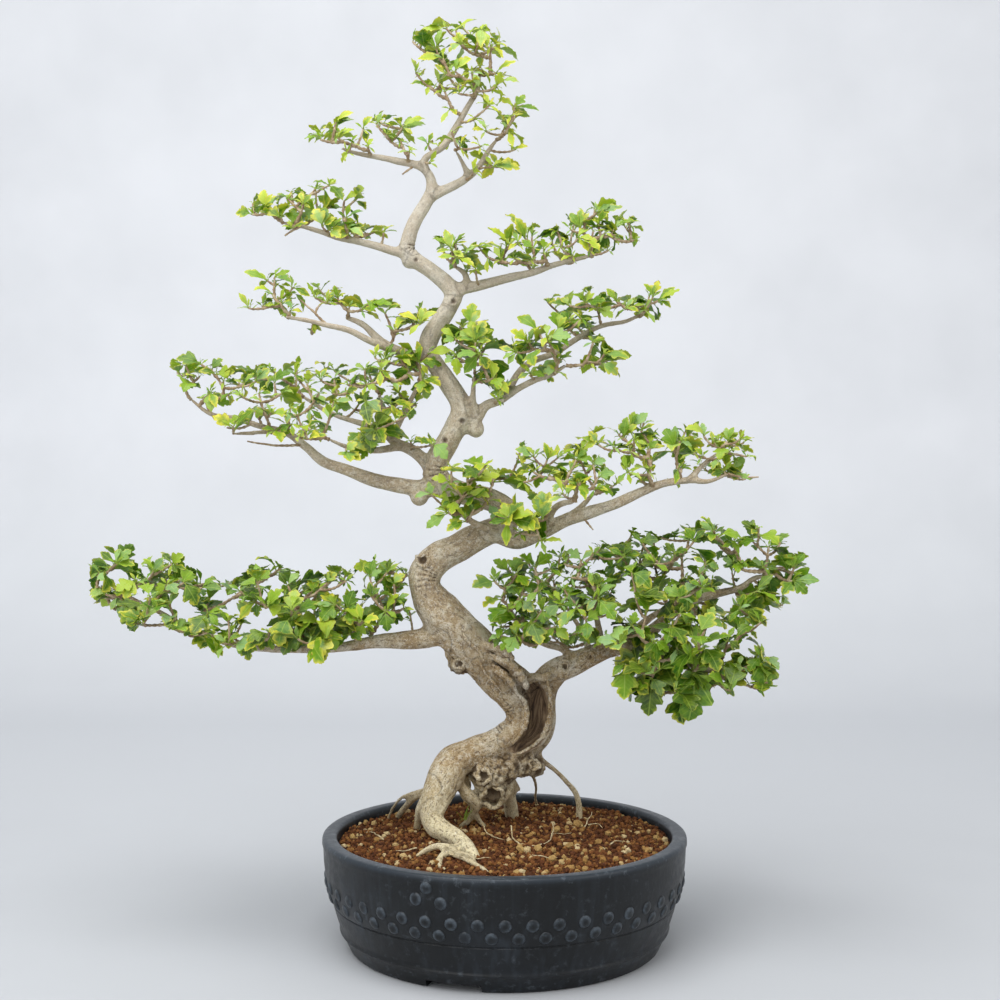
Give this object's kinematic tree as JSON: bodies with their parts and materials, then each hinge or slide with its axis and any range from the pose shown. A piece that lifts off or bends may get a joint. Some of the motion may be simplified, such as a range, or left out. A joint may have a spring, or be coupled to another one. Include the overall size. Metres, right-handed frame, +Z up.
{
  "type": "rose of sharon bonsai",
  "caption": "Informal upright flowering bonsai with a bent double trunk, stepped leafy branches and surface roots, in a round studded plastic drum pot with soil",
  "frame": {"origin": "middle of the bounding box's base, on the surface that the pot stands on", "axes": "+Z up along the trunk, +X to the viewer's right along the long branches, -Y towards the viewer"},
  "size_m": [0.8548, 0.424, 1.0709],
  "materials": {
    "pot": "dark blue-grey moulded plastic with a flat lip, two rows of round studs and chalky scuffs",
    "soil": "loose red-brown clay granules with tan and cream bits",
    "wood": "pale grey-tan wrinkled bark, cream at the roots, dark in the hollow",
    "leaf": "thin matt green leaf blades with yellow-green margins and brown tips"
  },
  "bodies": {
    "root": {"pot": "pot", "soil": "soil", "trunk": "wood", "spray_leader_tip": "leaf", "spray_leader_left": "leaf", "spray_leader_right": "leaf", "spray_top_right": "leaf", "spray_top_front": "leaf", "spray_top_left_tip": "leaf", "spray_top_left_mid": "leaf", "spray_crown_left_tip": "leaf", "spray_crown_left_mid": "leaf", "spray_crown_shoot": "leaf", "spray_crown_right_near": "leaf", "spray_crown_right_mid": "leaf", "spray_crown_right_tip": "leaf", "spray_up_left_tip": "leaf", "spray_up_left_mid": "leaf", "spray_up_right_shoot": "leaf", "spray_up_right_near": "leaf", "spray_up_right_mid": "leaf", "spray_up_right_high": "leaf", "spray_up_right_tip": "leaf", "spray_left_tip": "leaf", "spray_left_low": "leaf", "spray_left_back": "leaf", "spray_left_front": "leaf", "spray_left_high": "leaf", "spray_left_inner": "leaf", "spray_left_under": "leaf", "spray_waist_front": "leaf", "spray_waist_rosette": "leaf", "spray_waist_near": "leaf", "spray_waist_stub": "leaf", "spray_waist_back": "leaf", "spray_waist_mid": "leaf", "spray_waist_outer": "leaf", "spray_waist_tip": "leaf", "spray_low_tip": "leaf", "spray_low_outer": "leaf", "spray_low_outer_front": "leaf", "spray_low_back": "leaf", "spray_low_front": "leaf", "spray_low_hanging": "leaf", "spray_low_inner_back": "leaf", "spray_low_inner_front": "leaf", "spray_low_near": "leaf", "spray_right_inner": "leaf", "spray_right_rear": "leaf", "spray_right_up": "leaf", "spray_right_back": "leaf", "spray_right_hanging": "leaf", "spray_right_hanging_outer": "leaf", "spray_right_front": "leaf", "spray_right_high": "leaf", "spray_right_far_back": "leaf", "spray_right_outer": "leaf", "spray_right_tip": "leaf", "spray_right_low_tip": "leaf"}
  },
  "joints": []
}
